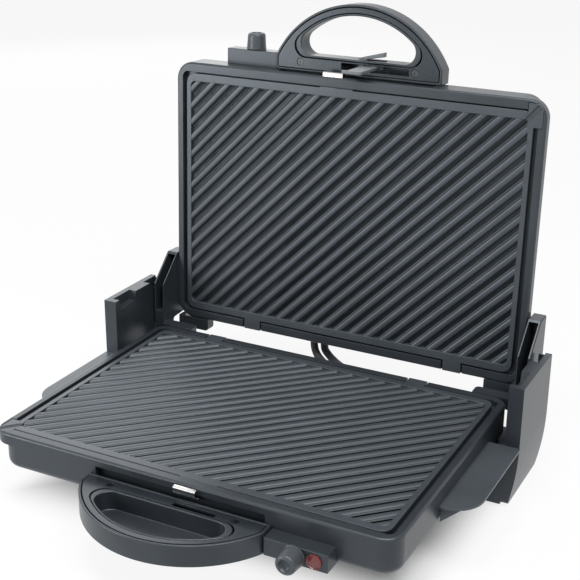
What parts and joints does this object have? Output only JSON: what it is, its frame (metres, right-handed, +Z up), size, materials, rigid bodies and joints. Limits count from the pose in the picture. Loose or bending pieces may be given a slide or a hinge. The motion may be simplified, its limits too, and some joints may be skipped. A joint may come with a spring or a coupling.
{
  "type": "electric grill",
  "caption": "Contact grill with two slanted-rib plates in matching tubs, floating side hinges, latching handles, control knobs and side shelves, opened past upright.",
  "frame": {"origin": "centre of the footprint at the supporting surface", "axes": "+Z up, +X to the right of a person at the handles, -Y towards that person; the lid stands open, leaning back"},
  "size_m": [0.45, 0.4349, 0.4244],
  "materials": {
    "body_plastic": "fine matte texture, slate black",
    "cover_plastic": "fine matte texture",
    "knob_plastic": "smooth matte",
    "coated_plate": "dark non-stick coating with a soft sheen",
    "heater_steel": "plain steel",
    "reflector_steel": "bright sheet",
    "thermostat_body": "moulded",
    "lamp_red": "clear red",
    "bulb_glass": "clear",
    "screw_steel": "zinc",
    "clip_chrome": "bright spring steel",
    "latch_grey": "grey plastic",
    "block_nylon": "nylon",
    "pad_rubber": "soft",
    "sleeve_rubber": "ribbed sleeve"
  },
  "bodies": {
    "base": {"base_housing": "body_plastic", "base_grill_plate": "coated_plate", "base_heating_element": "heater_steel", "base_reflector": "reflector_steel", "base_handle_shell": "body_plastic", "base_handle_cover": "cover_plastic", "base_handle_screws": "screw_steel", "base_control_box": "body_plastic", "base_thermostat": "thermostat_body", "base_cable_gland": "cover_plastic", "base_lamp_lens": "lamp_red", "base_lamp_bulb": "bulb_glass", "left_pillar": "body_plastic", "right_pillar": "body_plastic", "left_pillar_cover": "cover_plastic", "right_pillar_cover": "cover_plastic", "left_side_wing": "body_plastic", "right_side_wing": "body_plastic", "pillar_screws": "screw_steel", "pillar_pads": "pad_rubber", "front_legs": "body_plastic", "front_leg_pads": "pad_rubber", "cord_gland": "cover_plastic", "terminal_block": "thermostat_body", "link_cables": "sleeve_rubber"},
    "carriage": {"left_slide_block": "block_nylon", "right_slide_block": "block_nylon"},
    "lid": {"lid_housing": "body_plastic", "lid_grill_plate": "coated_plate", "lid_heating_element": "heater_steel", "lid_reflector": "reflector_steel", "lid_handle_shell": "body_plastic", "lid_handle_cover": "cover_plastic", "lid_handle_screws": "screw_steel", "lid_control_box": "body_plastic", "lid_thermostat": "thermostat_body", "lid_cable_gland": "cover_plastic", "left_lid_arm": "body_plastic", "right_lid_arm": "body_plastic", "left_hinge_pin": "heater_steel", "right_hinge_pin": "heater_steel", "lid_back_feet": "pad_rubber"},
    "base_knob": {"base_knob": "knob_plastic", "base_spindle": "heater_steel"},
    "lid_knob": {"lid_knob": "knob_plastic", "lid_spindle": "heater_steel"},
    "base_clip": {"base_plate_clip": "clip_chrome"},
    "lid_clip": {"lid_plate_clip": "clip_chrome"},
    "latch": {"lid_latch": "latch_grey"}
  },
  "joints": [
    {"name": "hinge_float", "type": "slide", "parent": "base", "child": "carriage", "axis": [0, 0, 1], "range_m": [0, 0.034], "deforming": ["link_cables"]},
    {"name": "lid_hinge", "type": "hinge", "parent": "carriage", "child": "lid", "pos_m": [0, 0.1453, 0.063], "axis": [-1, 0, 0], "range_deg": [-92, 88], "deforming": ["link_cables"]},
    {"name": "latch_slide", "type": "slide", "parent": "lid", "child": "latch", "axis": [1, 0, 0], "range_m": [0, 0.018]},
    {"name": "base_knob_turn", "type": "hinge", "parent": "base", "child": "base_knob", "pos_m": [0.116, -0.1646, 0.0543], "axis": [0, -1, 0], "range_deg": [0, 270]},
    {"name": "lid_knob_turn", "type": "hinge", "parent": "lid", "child": "lid_knob", "pos_m": [-0.116, 0.19979, 0.37119], "axis": [0, 0.0349, 0.9994], "range_deg": [0, 270]},
    {"name": "base_clip_slide", "type": "slide", "parent": "base", "child": "base_clip", "axis": [0, -1, 0], "range_m": [0, 0.005], "stiffness_N_per_m": 200},
    {"name": "lid_clip_slide", "type": "slide", "parent": "lid", "child": "lid_clip", "axis": [0, 0.0349, 0.9994], "range_m": [0, 0.005], "stiffness_N_per_m": 200}
  ]
}
